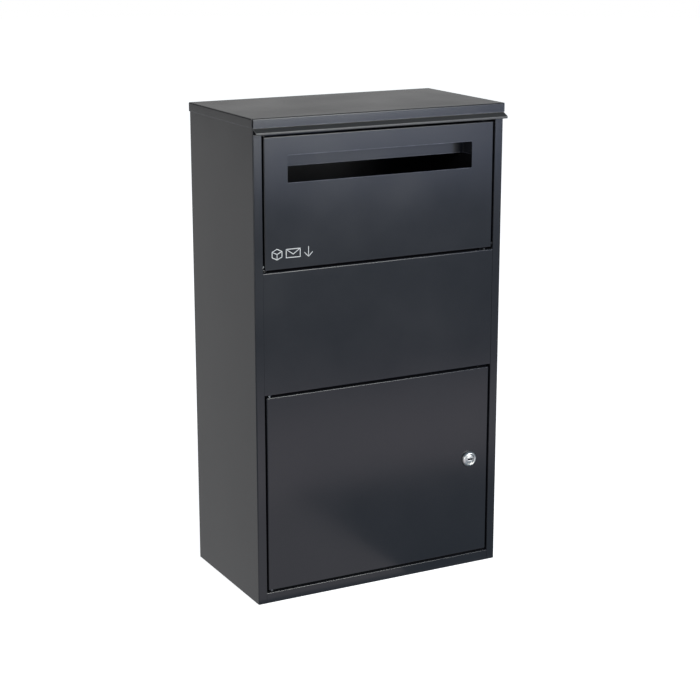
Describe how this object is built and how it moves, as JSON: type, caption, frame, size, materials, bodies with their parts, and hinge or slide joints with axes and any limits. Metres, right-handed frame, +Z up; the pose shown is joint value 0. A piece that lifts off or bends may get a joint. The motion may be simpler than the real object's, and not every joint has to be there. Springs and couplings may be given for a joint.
{
  "type": "parcel drop box",
  "caption": "Black powder-coated steel parcel drop box with a tip-out parcel door, a letter slot, a hopper and a lockable collection door.",
  "frame": {"origin": "centre of the overall footprint, on the floor", "axes": "+Z up, -Y towards the doors (front), +X to the right seen from the front"},
  "size_m": [0.373, 0.211, 0.65],
  "materials": {
    "powder_coat": "black satin powder coat",
    "zinc_steel": "bright zinc plate",
    "nickel": "polished nickel plate",
    "nylon": "black nylon",
    "rubber": "matt black rubber"
  },
  "bodies": {
    "cabinet": {"left_side_panel": "powder_coat", "right_side_panel": "powder_coat", "left_door_jamb": "powder_coat", "right_door_jamb": "powder_coat", "back_panel": "powder_coat", "base_panel": "powder_coat", "bottom_rail": "powder_coat", "middle_panel": "powder_coat", "header_rail": "powder_coat", "top_lid": "powder_coat", "drip_rail": "powder_coat", "anti_theft_baffle": "powder_coat", "return_spring_left": "zinc_steel", "return_spring_right": "zinc_steel", "parcel_door_bush_left": "nylon", "parcel_door_bush_right": "nylon", "collection_door_bush_low": "nylon", "collection_door_bush_high": "nylon", "parcel_door_bumper_left": "rubber", "parcel_door_bumper_right": "rubber", "collection_door_bumper_low": "rubber", "collection_door_bumper_high": "rubber"},
    "parcel_door": {"parcel_door_skin": "powder_coat", "letter_slot_hood": "powder_coat", "hopper_cheek_left": "powder_coat", "hopper_cheek_right": "powder_coat", "hopper_tray": "powder_coat", "parcel_door_pin_left": "zinc_steel", "parcel_door_pin_right": "zinc_steel", "travel_stop_left": "rubber", "travel_stop_right": "rubber"},
    "collection_door": {"collection_door_skin": "powder_coat", "collection_door_pin_low": "zinc_steel", "collection_door_pin_high": "zinc_steel", "lock_housing": "nickel", "lock_nut": "zinc_steel"},
    "lock": {"lock_plug": "nickel", "lock_cam": "zinc_steel", "cam_screw": "zinc_steel"}
  },
  "joints": [
    {"name": "parcel_door_tip", "type": "hinge", "parent": "cabinet", "child": "parcel_door", "pos_m": [0, -0.0895, 0.459], "axis": [1, 0, 0], "range_deg": [0, 50], "stiffness_Nm_per_rad": 0.3, "springref_deg": -28.65, "deforming": ["return_spring_left", "return_spring_right"]},
    {"name": "collection_door_swing", "type": "hinge", "parent": "cabinet", "child": "collection_door", "pos_m": [-0.164, -0.0895, 0.15165], "axis": [0, 0, -1], "range_deg": [0, 110]},
    {"name": "lock_turn", "type": "hinge", "parent": "collection_door", "child": "lock", "pos_m": [0.14, -0.0945, 0.1563], "axis": [0, -1, 0], "range_deg": [0, 90]}
  ]
}
